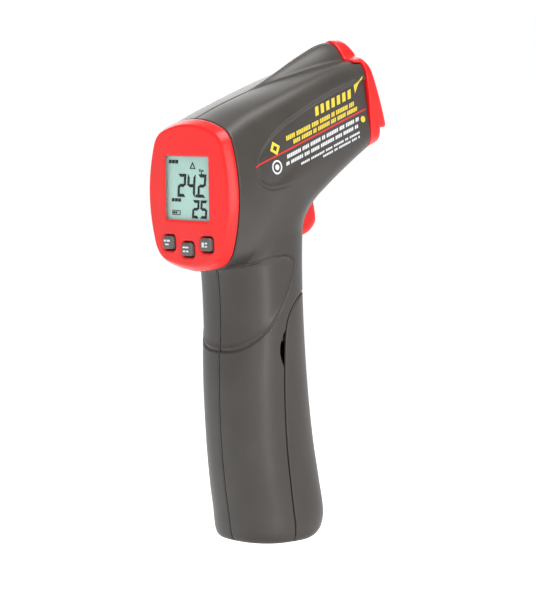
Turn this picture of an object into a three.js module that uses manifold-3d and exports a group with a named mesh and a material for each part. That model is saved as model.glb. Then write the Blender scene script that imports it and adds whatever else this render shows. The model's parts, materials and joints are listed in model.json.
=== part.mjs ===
// Handheld infrared thermometer, pistol form. Millimetres, +Z up, +Y towards the lens, X = 0 on the
// clamshell split.
import * as THREE from "three";
import { mergeVertices } from "three/addons/utils/BufferGeometryUtils.js";
import Module from "manifold-3d";

const wasm = await Module();
wasm.setup();

// ---- Driving dimensions -------------------------------------------------------------------------
const GAP = 0.3;                 // clearance between neighbouring pieces
const RING = 40;                 // points round each body section
const BARREL_WALL = 1.8;
const HANDLE_WALL = 1.2;
const BEZEL_BACK = -30;          // plane where the housing ends and the display bezel begins
const BEZEL_FACE = -34.2;
const BEZEL_CENTRE = 113.5;
const BARREL_PITCH = THREE.MathUtils.degToRad(20);
const CAP_TILT = THREE.MathUtils.degToRad(6);
const CAP_FACE_TILT = THREE.MathUtils.degToRad(19);
const LENS_ORIGIN = [0, 29.7, 140];   // lens axis where it crosses the cap's back plane
const LASER_RISE = 12.9;              // laser axis above the lens axis
const BASE = 3.5;                      // underside of the handle
const DATUM = [0, -1.6, -BASE];        // moves the drawing so that its origin is mid-way under the base
const DOOR_TOP = 83;
const HINGE = [-3.6, 5.8];            // door hinge axis (Y, Z)
const HINGE_ROUND = 2.5;              // heel of the door, turned about its hinge
const HINGE_EAR = [9.0, 10.7];        // from X to X, on each side
const TRIGGER_PIVOT = [7, 116.5];
const BATTERY = { width: 26.5, depth: 17.5, height: 48.5, lean: THREE.MathUtils.degToRad(5),
  centre: [0, -6, 38] };
const LCD = { width: 21.2, height: 19.7, centre: 115.7 };
const KEYS = { left: [-9.3, 98.7], middle: [0, 96.9], right: [9.3, 98.7] };
const KEY = { width: 5.2, height: 4.1, proud: 0.7, travel: 0.7 };
const BOSSES = [[-15, 133.5], [18, 121.8], [-15, 84], [-12.6, 8.05]];   // housing screws (Y, Z)

// Handle stations: height, rear Y, front Y, half width.
const HANDLE = [
  [3.5, -15.8, 3.6, 12.6],
  [4.2, -17.5, 7.6, 15.2],
  [6, -18.7, 10.6, 16.6],
  [9, -19.3, 12.3, 17.1],
  [13, -19.8, 12.8, 17.1],
  [22, -21.1, 11.4, 16.9],
  [36, -22.3, 9.1, 16.6],
  [54, -22.7, 6.9, 16.7],
  [74, -22.0, 5.2, 17.1],
  [90, -22.8, 5.0, 17.2],
  [104, -26.0, 6.2, 17.0],
  [114, -27.0, 7.6, 16.4],
];
const HANDLE_POWER = 2.35;

// Barrel stations: Y, underside Z, crown Z, half width, power of the lower half.
const BARREL = [
  [-30, 90.0, 136.8, 21.2, 2.6],
  [-20, 91.5, 140.9, 20.3, 2.6],
  [-8, 98.0, 145.0, 18.8, 2.6],
  [5, 107.3, 149.2, 17.0, 2.6],
  [18, 115.8, 152.8, 15.2, 2.7],
  [32, 124.2, 155.2, 13.7, 2.8],
  [42, 129.4, 157.0, 13.0, 2.8],
];
const CROWN_POWER = 3.4;

// Hump stations along the crown: Y, crest Z, half width.
const HUMP = [
  [-10, 144.4, 0.6],
  [0, 149.3, 3.0],
  [13, 156.0, 5.8],
  [22, 159.6, 7.3],
  [32, 160.2, 7.9],
  [42, 160.6, 7.9],
];

// ---- Small helpers ------------------------------------------------------------------------------
const group = new THREE.Group();

// Value of every column at `at`, on a smooth curve through the stations.
function station(stations, at) {
  const last = stations.length - 1;
  const i = Math.min(Math.max(stations.findIndex((s) => s[0] > at) - 1, 0), last - 1);
  const index = at >= stations[last][0] ? last - 1 : i;
  const [a, b] = [stations[index], stations[index + 1]];
  const [before, after] = [stations[Math.max(index - 1, 0)], stations[Math.min(index + 2, last)]];
  const span = b[0] - a[0];
  const u = (at - a[0]) / span;
  return a.map((value, k) => {
    const slopeA = (b[k] - before[k]) / (b[0] - before[0]) * span;
    const slopeB = (after[k] - a[k]) / (after[0] - a[0]) * span;
    return (2 * u ** 3 - 3 * u ** 2 + 1) * value + (u ** 3 - 2 * u ** 2 + u) * slopeA
      + (3 * u ** 2 - 2 * u ** 3) * b[k] + (u ** 3 - u ** 2) * slopeB;
  });
}

// Superellipse with its own power above and below its centre.
function oval(halfWidth, halfHeight, powerUp, powerDown = powerUp, count = RING) {
  return Array.from({ length: count }, (_, i) => {
    const angle = (2 * Math.PI * i) / count;
    const power = 2 / (Math.sin(angle) >= 0 ? powerUp : powerDown);
    const along = (v) => Math.sign(v) * Math.abs(v) ** power;
    return [halfWidth * along(Math.cos(angle)), halfHeight * along(Math.sin(angle))];
  });
}

// Closed geometry through rings of equal length, with a fan on each end.
function loft(rings) {
  const count = rings[0].length;
  const points = rings.flat();
  const centre = (ring) => ring.reduce((sum, p) => sum.map((v, k) => v + p[k] / count), [0, 0, 0]);
  points.push(centre(rings[0]), centre(rings[rings.length - 1]));
  const faces = [];
  for (let r = 0; r < rings.length - 1; r += 1) {
    for (let i = 0; i < count; i += 1) {
      const j = (i + 1) % count;
      const [a, b, c, d] = [r * count + i, r * count + j, (r + 1) * count + j, (r + 1) * count + i];
      faces.push(a, b, c, a, c, d);
    }
  }
  const lastRing = (rings.length - 1) * count;
  for (let i = 0; i < count; i += 1) {
    const j = (i + 1) % count;
    faces.push(points.length - 2, j, i, points.length - 1, lastRing + i, lastRing + j);
  }
  const geometry = new THREE.BufferGeometry();
  geometry.setAttribute("position", new THREE.Float32BufferAttribute(points.flat(), 3));
  geometry.setIndex(faces);
  return geometry;
}

function solid(geometry) {
  const bare = geometry.clone();
  bare.deleteAttribute("normal");
  bare.deleteAttribute("uv");
  const merged = mergeVertices(bare, 1e-5);
  const index = merged.index.array;
  const mesh = { numProp: 3, vertProperties: Float32Array.from(merged.attributes.position.array) };
  const body = new wasm.Manifold(new wasm.Mesh({ ...mesh, triVerts: Uint32Array.from(index) }));
  if (body.volume() > 0) return body;
  const flipped = Uint32Array.from(index);
  for (let i = 0; i < flipped.length; i += 3) [flipped[i], flipped[i + 1]] = [flipped[i + 1], flipped[i]];
  return new wasm.Manifold(new wasm.Mesh({ ...mesh, triVerts: flipped }));
}

function geometryOf(body) {
  const mesh = body.getMesh();
  const geometry = new THREE.BufferGeometry();
  geometry.setAttribute("position", new THREE.BufferAttribute(Float32Array.from(mesh.vertProperties), 3));
  geometry.setIndex(Array.from(mesh.triVerts));
  geometry.computeVertexNormals();
  return geometry;
}

const union = (...bodies) => bodies.reduce((sum, body) => sum.add(body));

function box(x, y, z) {
  const size = [x[1] - x[0], y[1] - y[0], z[1] - z[0]];
  const geometry = new THREE.BoxGeometry(...size);
  return solid(geometry.translate((x[0] + x[1]) / 2, (y[0] + y[1]) / 2, (z[0] + z[1]) / 2));
}

// Cylinder along one axis, from `from` to `to`; `at` gives its other two coordinates in X, Y, Z order.
function rod(axis, radius, from, to, at, sides = 24) {
  const geometry = new THREE.CylinderGeometry(radius, radius, to - from, sides);
  const mid = (from + to) / 2;
  if (axis === "x") return solid(geometry.rotateZ(Math.PI / 2).translate(mid, at[0], at[1]));
  if (axis === "y") return solid(geometry.translate(at[0], mid, at[1]));
  return solid(geometry.rotateX(Math.PI / 2).translate(at[0], at[1], mid));
}

// Extrusion along X of an outline drawn in Y, Z.
function sidePlate(shape, from, to, segments = 8) {
  const geometry = new THREE.ExtrudeGeometry(shape,
    { depth: to - from, bevelEnabled: false, curveSegments: segments });
  return solid(geometry.rotateX(Math.PI / 2).rotateZ(Math.PI / 2).translate(from, 0, 0));
}

// Extrusion along Y of an outline drawn in X, Z.
function facePlate(shape, from, to, segments = 3) {
  const geometry = new THREE.ExtrudeGeometry(shape,
    { depth: to - from, bevelEnabled: false, curveSegments: segments });
  return solid(geometry.rotateX(Math.PI / 2).translate(0, to, 0));
}

function roundedRect(width, height, radius, x = 0, z = 0) {
  const [w, h] = [width / 2, height / 2];
  const shape = new THREE.Shape();
  shape.absarc(x + w - radius, z + h - radius, radius, 0, Math.PI / 2);
  shape.absarc(x - w + radius, z + h - radius, radius, Math.PI / 2, Math.PI);
  shape.absarc(x - w + radius, z - h + radius, radius, Math.PI, 1.5 * Math.PI);
  shape.absarc(x + w - radius, z - h + radius, radius, 1.5 * Math.PI, 2 * Math.PI);
  shape.closePath();
  return shape;
}

function polygon(points) {
  return new THREE.Shape(points.map(([u, v]) => new THREE.Vector2(u, v)));
}

// Round wire or lead through a few points.
function lead(points, radius, steps, sides = 6) {
  const path = new THREE.CatmullRomCurve3(points.map((p) => new THREE.Vector3(...p)));
  const section = new THREE.Shape().absarc(0, 0, radius, 0, 2 * Math.PI);
  const options = { extrudePath: path, steps, curveSegments: Math.ceil(sides / 2), bevelEnabled: false };
  return new THREE.ExtrudeGeometry(section, options);
}

const finishes = {
  redPlastic: { color: 0xe5352f, roughness: 0.42, metalness: 0 },
  greyPlastic: { color: 0x54514d, roughness: 0.6, metalness: 0 },
  keyRubber: { color: 0x4a4a4a, roughness: 0.7, metalness: 0 },
  clear: { color: 0xcfe6df, roughness: 0.08, metalness: 0 },
  display: { color: 0xb5d5cb, roughness: 0.25, metalness: 0 },
  board: { color: 0x1f6b3a, roughness: 0.5, metalness: 0 },
  blackPlastic: { color: 0x1c1c1e, roughness: 0.55, metalness: 0 },
  whitePlastic: { color: 0xe8e8e4, roughness: 0.5, metalness: 0 },
  steel: { color: 0xb9bcc0, roughness: 0.3, metalness: 1 },
  brass: { color: 0xc9a24a, roughness: 0.3, metalness: 1 },
  redLead: { color: 0xb3221c, roughness: 0.5, metalness: 0 },
  foam: { color: 0x3a3a3c, roughness: 0.95, metalness: 0 },
  batteryLabel: { color: 0x2b4a7a, roughness: 0.4, metalness: 0.2 },
};

function place(name, shape, finish, parent = group) {
  const geometry = shape instanceof THREE.BufferGeometry ? shape : geometryOf(shape);
  const mesh = new THREE.Mesh(geometry, new THREE.MeshStandardMaterial(finishes[finish]));
  mesh.name = name;
  parent.add(mesh);
}

// Group on the lens axis: local Y runs out along the lens.
const optics = new THREE.Group();
optics.position.set(...LENS_ORIGIN);
optics.rotation.x = BARREL_PITCH;
group.add(optics);

// Group standing in line with the battery.
const batteryBay = new THREE.Group();
batteryBay.position.set(...BATTERY.centre);
batteryBay.rotation.x = BATTERY.lean;
group.add(batteryBay);

// ---- Outer form ---------------------------------------------------------------------------------
function handleBody(inset, from, to) {
  const cuts = HANDLE.map((s) => s[0]).filter((z) => z > from && z < to);
  const heights = [from, ...cuts, to];
  return solid(loft(heights.map((z) => {
    const [, rear, front, half] = station(HANDLE, z);
    const middle = (rear + front) / 2;
    const points = oval(half - inset, (front - rear) / 2 - inset, HANDLE_POWER);
    return points.map(([x, y]) => [x, middle + y, z]);
  })));
}

function barrelBody(inset, from, to) {
  const cuts = BARREL.map((s) => s[0]).filter((y) => y > from && y < to);
  const places = [from, ...cuts, to];
  return solid(loft(places.map((y) => {
    const [, under, crown, half, power] = station(BARREL, y);
    const middle = (under + crown) / 2;
    const points = oval(half - inset, (crown - under) / 2 - inset, CROWN_POWER, power);
    return points.map(([x, z]) => [x, y, middle + z]);
  })));
}

function humpBody(inset, from, to) {
  const cuts = HUMP.map((s) => s[0]).filter((y) => y > from && y < to);
  const places = [from, ...cuts, to];
  return solid(loft(places.map((y) => {
    const [, crest, half] = station(HUMP, y);
    const depth = Math.max(half * 1.15, 1.2);
    const points = oval(Math.max(half - inset, 0.3), Math.max(depth - inset, 0.3), 2.1, 2.1, 28);
    return points.map(([x, z]) => [x, y, crest - depth + z]);
  })));
}

// Everything ahead of a plane through (0, y, z) that leans back by `tilt`, kept as a big block.
function aheadOf(y, z, tilt) {
  const block = new THREE.BoxGeometry(80, 60, 120).translate(0, 30, 0);
  return solid(block.rotateX(tilt).translate(0, y, z));
}

const capBack = (shift = 0) => aheadOf(LENS_ORIGIN[1] + shift, LENS_ORIGIN[2], CAP_TILT);
const barrelOuter = union(barrelBody(0, BEZEL_BACK, 42), humpBody(0, -9.8, 42));
const handleOuter = handleBody(0, BASE, 112);

function housingCavity() {
  const barrel = barrelBody(BARREL_WALL, BEZEL_BACK - 1, 42);
  const hump = humpBody(BARREL_WALL, 2, 42);
  return union(barrel, hump, handleBody(HANDLE_WALL, BASE + 2, 90), handleBody(BARREL_WALL, 80, 111));
}

// Side outline of the battery door, ahead of the seam; `shift` moves the seam back.
function doorOutline(shift) {
  const shape = new THREE.Shape();
  shape.moveTo(-5.9 - shift, 0);
  shape.lineTo(-6.2 - shift, 9);
  shape.splineThru([[-7.2, 18], [-8.7, 34], [-9.4, 50], [-9.2, 66], [-8.2, 74], [-5.0, 79.2], [-0.5, 82]]
    .map(([y, z]) => new THREE.Vector2(y - shift, z + shift * 0.5)));
  shape.lineTo(8, DOOR_TOP + shift);
  shape.lineTo(24, DOOR_TOP + shift);
  shape.lineTo(24, 0);
  shape.closePath();
  return shape;
}

// ---- Housing halves -----------------------------------------------------------------------------
// Ear that reaches into the door's heel and holds the hinge pin.
function hingeEar(side) {
  const x = side === "left" ? [-HINGE_EAR[1], -HINGE_EAR[0]] : HINGE_EAR;
  const neck = box(x, [-9, HINGE[0]], [HINGE[1] - 1.4, HINGE[1] + 1.4]);
  return rod("x", 1.9, ...x, HINGE, 20).add(neck);
}

function bossPair(side) {
  const sign = side === "left" ? -1 : 1;
  const along = (near, far) => (sign < 0 ? [-far, -near] : [near, far]);
  const posts = BOSSES.map((at) => rod("x", 2.4, ...along(GAP / 2, 18), at, 14));
  const wells = sign < 0 ? BOSSES.map((at) => rod("x", 3.4, -18, -6, at, 18)) : [];
  const pivot = rod("x", 2.6, ...along(6, 15), TRIGGER_PIVOT, 16);
  return union(...posts, ...wells, pivot);
}

function shelves(side) {
  const x = side === "left" ? [-17, -GAP / 2] : [GAP / 2, 17];
  const batteryShelf = box(x, [-20, -8.5], [10.6, 12.4]);
  const bayRoof = box(x, [-22, 1.2], [70.6, 72]);
  const grip = side === "left" ? [-18, -5.8] : [5.8, 18];
  const boardGrip = box(grip, [-6.2, -3.0], [96, 102.4]);
  return union(batteryShelf, bayRoof, boardGrip);
}

function housing(side) {
  const sign = side === "left" ? -1 : 1;
  const half = box(side === "left" ? [-40, -GAP / 2] : [GAP / 2, 40], [-60, 60], [0, 175]);
  const outer = union(barrelOuter, handleOuter).subtract(capBack())
    .subtract(box([-40, 40], [-60, BEZEL_BACK], [0, 175]));
  const fittings = union(bossPair(side), shelves(side)).intersect(outer);
  let shell = outer.subtract(housingCavity()).add(fittings).intersect(half);
  shell = shell.subtract(sidePlate(doorOutline(GAP), -30, 30, 4));
  const notch = rod("x", 9.5, -30, 30, [-1.7, 65], 40);
  shell = shell.subtract(notch);
  shell = shell.add(hingeEar(side).intersect(handleOuter)).subtract(rod("x", 1.1, -15, 15, HINGE, 16));
  const slot = polygon([[1.5, 98.4], [18, 98.4], [14.4, 116.5], [10.6, 121.5], [1.5, 121.5]]);
  shell = shell.subtract(sidePlate(slot, -5.7, 5.7));
  shell = shell.subtract(rod("x", 1.4, -9.3, 9.3, TRIGGER_PIVOT, 16));
  shell = shell.subtract(box([-7.6, 7.6], [-5.7, -3.5], [95.7, 103]));
  for (const at of BOSSES) {
    if (sign < 0) {
      shell = shell.subtract(rod("x", 1.3, -30, 0, at, 10)).subtract(rod("x", 2.5, -30, -7.5, at, 16));
    } else {
      shell = shell.subtract(rod("x", 1.3, 0, 7, at, 10));
    }
  }
  if (sign < 0) {
    for (const at of MAIN_BOARD_SCREWS) {
      const post = rod("x", 2, -20, -9.9, at, 16).intersect(outer);
      shell = shell.add(post).subtract(rod("x", 1.1, -14.5, -8, at, 12));
    }
  } else {
    shell = shell.subtract(box([4.6, 9.8], [-12.4, -8.6], [70, 73]));
  }
  return shell;
}

const MAIN_BOARD_SCREWS = [[-18.5, 124.4], [-1.4, 105.4]];

// ---- Front cap and display bezel ----------------------------------------------------------------
function frontCap() {
  const proud = union(barrelBody(-0.45, 20, 42), humpBody(-0.45, 20, 42));
  const face = aheadOf(35.6, 140, CAP_FACE_TILT);
  const lowStep = aheadOf(34.6, 133.5, CAP_FACE_TILT).intersect(box([-40, 40], [0, 60], [100, 132.6]));
  const core = proud.intersect(capBack(GAP)).subtract(face).subtract(lowStep);
  const bores = union(
    rod("y", 9.2, -12, 14, [0, 0], 40),
    rod("y", 3.4, -12, 14, [0, LASER_RISE], 24),
    rod("y", 11.0, -12, 2.2, [0, 0], 40),
  );
  const turned = placed(bores);
  return core.subtract(turned);
}

// A body drawn on the lens axis, moved into the part's frame.
function placed(body) {
  optics.updateMatrixWorld(true);
  return body.transform(optics.matrixWorld.toArray());
}

function bezelRing(y, inset) {
  return oval(21.2 - inset, 23.4 - inset, CROWN_POWER, 2.6).map(([x, z]) => [x, y, BEZEL_CENTRE + z]);
}

function displayBezel() {
  const outer = solid(loft([
    bezelRing(BEZEL_FACE, 2.4), bezelRing(BEZEL_FACE + 0.5, 1.2), bezelRing(BEZEL_FACE + 1.6, 0.35),
    bezelRing(BEZEL_BACK - GAP, 0),
  ]));
  const skirt = solid(loft([bezelRing(BEZEL_BACK - 1.2, 2.2), bezelRing(BEZEL_BACK + 1.8, 2.2)]));
  const pocket = solid(loft([bezelRing(BEZEL_FACE + 1.8, 3.3), bezelRing(BEZEL_BACK + 2, 3.3)]));
  const keyWindows = Object.values(KEYS).map(([x, z]) =>
    facePlate(roundedRect(KEY.width + 0.7, KEY.height + 0.7, 1.1, x, z), BEZEL_FACE - 1, BEZEL_FACE + 3));
  const windowHole = facePlate(roundedRect(LCD.width, LCD.height, 0.8, 0, LCD.centre),
    BEZEL_FACE - 1, BEZEL_FACE + 3);
  const windowSeat = facePlate(roundedRect(LCD.width + 3.6, LCD.height + 2.6, 1.2, 0, LCD.centre),
    BEZEL_FACE + 0.6, BEZEL_FACE + 3);
  const posts = DISPLAY_SCREWS.map((at) => rod("y", 1.7, BEZEL_FACE + 1.5, -27.9, at, 12));
  const pilots = DISPLAY_SCREWS.map((at) => rod("y", 1.0, BEZEL_FACE + 2.4, -27, at, 8));
  return union(outer, skirt).subtract(pocket).add(union(...posts))
    .subtract(union(windowHole, windowSeat, ...keyWindows))
    .subtract(union(...pilots));
}

const DISPLAY_SCREWS = [[-10.4, 130.4], [10.4, 130.4], [-14.2, 103.2], [14.2, 103.2]];

// ---- Battery door -------------------------------------------------------------------------------
function batteryDoor() {
  const shell = handleBody(0, BASE, 90).subtract(handleBody(HANDLE_WALL, BASE + 1.8, 91));
  let door = shell.intersect(sidePlate(doorOutline(0), -30, 30, 4));
  const reach = HINGE_EAR[0] - GAP;
  const barrel = rod("x", 2.0, -reach, reach, HINGE, 20);
  const web = box([-reach, reach], [HINGE[0], 0.5], [BASE + 0.3, BASE + 3]);
  const behindHinge = box([-20, 20], [-20, HINGE[0]], [0, HINGE[1]]);
  const heel = behindHinge.subtract(rod("x", HINGE_ROUND, -21, 21, HINGE, 40));
  door = union(door, barrel, web.intersect(handleOuter)).subtract(heel);
  for (const side of [-1, 1]) {
    const corners = [[16.3, -5], [16.3, -8.6], [14.6, -8.6], [14.6, -12.6], [13.5, -12.6], [13.5, -5]];
    const tab = new THREE.Shape(corners.map(([x, y]) => new THREE.Vector2(side * x, y)));
    const bar = new THREE.ExtrudeGeometry(tab, { depth: 2.2, bevelEnabled: false });
    const hook = solid(bar.translate(0, 0, 67.2));
    const earSlot = side < 0 ? [-HINGE_EAR[1] - GAP, -reach] : [reach, HINGE_EAR[1] + GAP];
    door = door.add(hook).subtract(box(earSlot, [-8, HINGE[0] + 2.3], [0, HINGE[1] + 2.4]));
  }
  return door.subtract(rod("x", 1.1, -reach - 1, reach + 1, HINGE, 16));
}

// ---- Trigger group ------------------------------------------------------------------------------
function trigger() {
  const outline = new THREE.Shape();
  outline.moveTo(4.2, 114);
  outline.splineThru([[3.4, 107], [3.4, 100.2], [6.2, 98.8], [11.2, 99.4], [14.6, 102.2], [15.2, 105.4],
    [13.4, 113.2], [10.2, 117.8]]
    .map((p) => new THREE.Vector2(...p)));
  outline.absarc(TRIGGER_PIVOT[0], TRIGGER_PIVOT[1], 3.1, 0.4, Math.PI * 0.95);
  outline.closePath();
  const blade = new THREE.ExtrudeGeometry(outline, {
    depth: 8, bevelEnabled: true, bevelThickness: 1.2, bevelSize: 1.0, bevelOffset: -1.0,
    bevelSegments: 1, curveSegments: 3,
  });
  const body = solid(blade.rotateX(Math.PI / 2).rotateZ(Math.PI / 2).translate(-4, 0, 0));
  const post = box([-1.5, 1.5], [2.0, 5], [101.6, 104.4]);
  return body.add(post).subtract(rod("x", 1.4, -8, 8, TRIGGER_PIVOT, 16));
}

function triggerSpring() {
  const [turns, radius, wire, from, to] = [5, 1.9, 0.28, -3.2, 3.0];
  const steps = turns * 10;
  const points = Array.from({ length: steps + 1 }, (_, i) => {
    const angle = (2 * Math.PI * turns * i) / steps;
    return [radius * Math.cos(angle), from + ((to - from) * i) / steps, 109.4 + radius * Math.sin(angle)];
  });
  return lead(points, wire, steps, 5);
}

// ---- Display stack ------------------------------------------------------------------------------
function displayStack() {
  const flange = roundedRect(LCD.width + 3.0, LCD.height + 2.0, 0.9, 0, LCD.centre);
  const pane = roundedRect(LCD.width - 0.4, LCD.height - 0.4, 0.6, 0, LCD.centre);
  const window = facePlate(flange, BEZEL_FACE + 0.7, BEZEL_FACE + 1.3)
    .add(facePlate(pane, BEZEL_FACE + 0.15, BEZEL_FACE + 1));
  place("lcd_window", window, "clear");
  place("lcd_glass", facePlate(flange, BEZEL_FACE + 1.5, -31.0), "display");
  place("backlight_panel", facePlate(roundedRect(22, 17.6, 0.8, 0, 114.8), -30.7, -28.4), "whitePlastic");
  const board = facePlate(roundedRect(33, 38.5, 9, 0, 113.6), -27.6, -26.0);
  const holes = DISPLAY_SCREWS.map((at) => rod("y", 1.0, -28, -25, at, 8));
  place("display_board", board.subtract(union(...holes)), "board");
  place("zebra_strip", box([-10.5, 10.5], [-30.9, -27.7], [124.6, 126.2]), "keyRubber");
  const membrane = facePlate(roundedRect(25.5, 8.6, 2, 0, 97.9), -31.2, -30.0);
  place("keypad_membrane", membrane.intersect(pocketSpace()), "keyRubber");
  DISPLAY_SCREWS.forEach(([x, z], i) => {
    place(`display_screw_${i + 1}`, screw("y", [x, z], -25.7, -1, 0.7, 1.5, 6), "steel");
  });
}

// Pan-head screw: the head sits at `seat` and the shank points along `way`.
function screw(axis, at, seat, way, shank, head, length) {
  const near = (a, b) => [Math.min(a, b), Math.max(a, b)];
  const top = rod(axis, head, ...near(seat, seat - way * head * 0.8), at, 12);
  return top.add(rod(axis, shank, ...near(seat - way * 0.2, seat + way * length), at, 8));
}

// Room inside the bezel, less the clearance that its contents keep.
function pocketSpace() {
  return solid(loft([bezelRing(BEZEL_FACE + 1.9, 3.6), bezelRing(BEZEL_BACK + 1, 3.6)]));
}

function key([x, z]) {
  const cap = facePlate(roundedRect(KEY.width, KEY.height, 0.9, x, z),
    BEZEL_FACE - KEY.proud, BEZEL_FACE + 2.2);
  const flange = facePlate(roundedRect(KEY.width + 1.4, KEY.height + 1.4, 1.2, x, z),
    BEZEL_FACE + 2.1, BEZEL_FACE + 2.25);
  return cap.add(flange.intersect(pocketSpace()));
}

// ---- Optics (drawn on the lens axis) ------------------------------------------------------------
function opticsParts() {
  const tube = rod("y", 8.2, -16, 4.4, [0, 0], 36)
    .subtract(rod("y", 6.8, -17, 5, [0, 0], 32))
    .subtract(rod("y", 7.7, 1.2, 5, [0, 0], 32));
  place("lens_tube", tube, "blackPlastic", optics);
  place("fresnel_lens", new THREE.LatheGeometry(
    [[0, 1.9], [5, 1.75], [7.4, 1.5], [7.4, 2.4], [0, 2.4]].map(([r, y]) => new THREE.Vector2(r, y)), 32),
      "clear", optics);
  const ring = rod("y", 7.4, 2.7, 4.2, [0, 0], 32).subtract(rod("y", 6.2, 2, 5, [0, 0], 32));
  place("lens_retaining_ring", ring, "blackPlastic", optics);
  place("sensor_can", new THREE.LatheGeometry(
    [[0, -15.6], [4.7, -15.6], [4.7, -14.8], [4.1, -14.8], [4.1, -11.6], [3.7, -11.2], [0, -11.2]]
      .map(([r, y]) => new THREE.Vector2(r, y)), 28), "steel", optics);
  place("sensor_board", rod("y", 8.0, -17.9, -16.4, [0, 0], 28), "board", optics);
  const laser = rod("y", 3.0, -12, 2.5, [0, LASER_RISE], 24)
    .subtract(rod("y", 1.6, -1, 3, [0, LASER_RISE], 16));
  place("laser_module", laser, "brass", optics);
  const collar = rod("y", 4.2, -9, -5, [0, LASER_RISE], 24)
    .subtract(rod("y", 3.3, -10, -4, [0, LASER_RISE], 24));
  place("laser_collar", collar, "keyRubber", optics);
  place("laser_window", rod("y", 2.9, 2.9, 3.7, [0, LASER_RISE], 24), "clear", optics);
}

// ---- Electronics --------------------------------------------------------------------------------
function electronics() {
  const board = sidePlate(polygon([[-21, 103], [1.6, 103], [1.6, 127], [-21, 127]]), -9.6, -8)
    .subtract(union(...MAIN_BOARD_SCREWS.map((at) => rod("x", 1.0, -11, -7, at, 12))));
  place("main_board", board, "board");
  place("microcontroller", box([-7.7, -6.3], [-9.5, -0.5], [108.5, 117.5]), "blackPlastic");
  place("signal_amplifier", box([-7.7, -6.4], [-3.4, 1.4], [119.3, 123.3]), "blackPlastic");
  place("crystal", box([-7.7, -4.2], [-17.8, -9.8], [118.2, 121.2]), "steel");
  place("capacitor", rod("x", 2.3, -7.7, -1.2, [-7.2, 122.3], 20), "blackPlastic");
  const buzzer = rod("x", 4.7, -7.7, -2.2, [-15.6, 110.6], 28)
    .subtract(rod("x", 0.8, -4, -2, [-15.6, 110.6], 12));
  place("buzzer", buzzer, "blackPlastic");
  place("board_header", box([-10.5, -7.2], [-25.7, -21.4], [108, 121]), "blackPlastic");
  MAIN_BOARD_SCREWS.forEach((at, i) => {
    place(`board_screw_${i + 1}`, screw("x", at, -7.7, -1, 0.7, 1.5, 5.6), "steel");
  });
}

function batteryParts() {
  const { width, depth, height } = BATTERY;
  const bottom = -height / 2;
  const body = new THREE.ExtrudeGeometry(roundedRect(width, depth, 2.5),
    { depth: height - 2.5, bevelEnabled: false, curveSegments: 3 });
  const terminals = union(rod("z", 2.9, 20, height / 2, [-6.35, 0], 18),
    rod("z", 3.8, 20, height / 2, [6.35, 0], 18));
  place("battery", solid(body.translate(0, 0, bottom)).add(terminals), "batteryLabel", batteryBay);
  const top = height / 2 - 2.5 + GAP;
  const plate = new THREE.ExtrudeGeometry(roundedRect(25, 12.5, 2),
    { depth: 4.6, bevelEnabled: false, curveSegments: 3 });
  const sockets = union(rod("z", 3.2, top - 1, top + 2.6, [-6.35, 0], 18),
    rod("z", 4.1, top - 1, top + 2.6, [6.35, 0], 18));
  place("battery_snap", solid(plate.translate(0, 0, top)).subtract(sockets), "blackPlastic", batteryBay);
  place("foam_pad", box([-6.5, 6.5], [depth / 2 + 0.5, depth / 2 + 3.0], [6, 20]), "foam", batteryBay);
}

function leads() {
  const positive = [[6.4, -9.2, 65.2], [6.4, -10, 68.5], [6.2, -10.6, 72], [5.5, -10.2, 84], [1, -9.5, 96],
    [-4, -9, 101.5], [-6.8, -8, 105]];
  const negative = [[9.4, -9.4, 65.2], [9.0, -10, 68.5], [8.3, -10.6, 71.8], [8, -10.2, 80], [4, -8.2, 94],
    [-3, -7.4, 99.5], [-6.8, -5.5, 105]];
  place("battery_lead_positive", lead(positive, 0.6, 20), "redLead");
  place("battery_lead_negative", lead(negative, 0.6, 20), "blackPlastic");
  place("sensor_lead", lead([[0, 10.6, 133.4], [-3, 8, 131], [-6, 4, 128], [-7.1, 0.4, 125.4]], 0.5, 12),
    "whitePlastic");
  place("laser_lead", lead([[0, 13.2, 147.5], [-1, 8, 143], [-4, 3, 136], [-6.9, -1.5, 126]], 0.5, 14),
    "redLead");
}

// ---- Assembly -----------------------------------------------------------------------------------
place("left_housing", housing("left"), "greyPlastic");
place("right_housing", housing("right"), "greyPlastic");
place("display_bezel", displayBezel(), "redPlastic");
place("front_cap", frontCap(), "redPlastic");
place("battery_door", batteryDoor(), "greyPlastic");
place("door_hinge_pin", rod("x", 0.8, -HINGE_EAR[1], HINGE_EAR[1], HINGE, 12), "steel");
place("trigger", trigger(), "redPlastic");
place("trigger_pin", rod("x", 1.1, -9, 9, TRIGGER_PIVOT, 16), "steel");
place("trigger_spring", triggerSpring(), "steel");
place("trigger_switch", box([-3, 3], [-3.5, -0.2], [99.8, 105.8]), "blackPlastic");
place("switch_board", box([-7.3, 7.3], [-5.4, -3.8], [96, 102.1])
  .add(box([-5.4, 5.4], [-5.4, -3.8], [100, 112])), "board");
for (const [name, at] of Object.entries(KEYS)) {
  place(`key_${name}`, key(at), "keyRubber");
}
displayStack();
opticsParts();
electronics();
batteryParts();
leads();
BOSSES.forEach((at, i) => {
  place(`housing_screw_${i + 1}`, screw("x", at, -7.8, 1, 1.0, 2.2, 13), "steel");
});

group.position.set(...DATUM);

export default group;
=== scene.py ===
"""Infrared thermometer: the visible surfaces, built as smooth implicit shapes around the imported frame.

Shapes are drawn in the part's own drawing coordinates (millimetres: X to the right, Y towards the
lens, Z up), and to_row() turns them into the row frame in metres.
"""
import json
import math

import bmesh
import bpy
import numpy as np
from mathutils import Matrix, Vector


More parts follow.
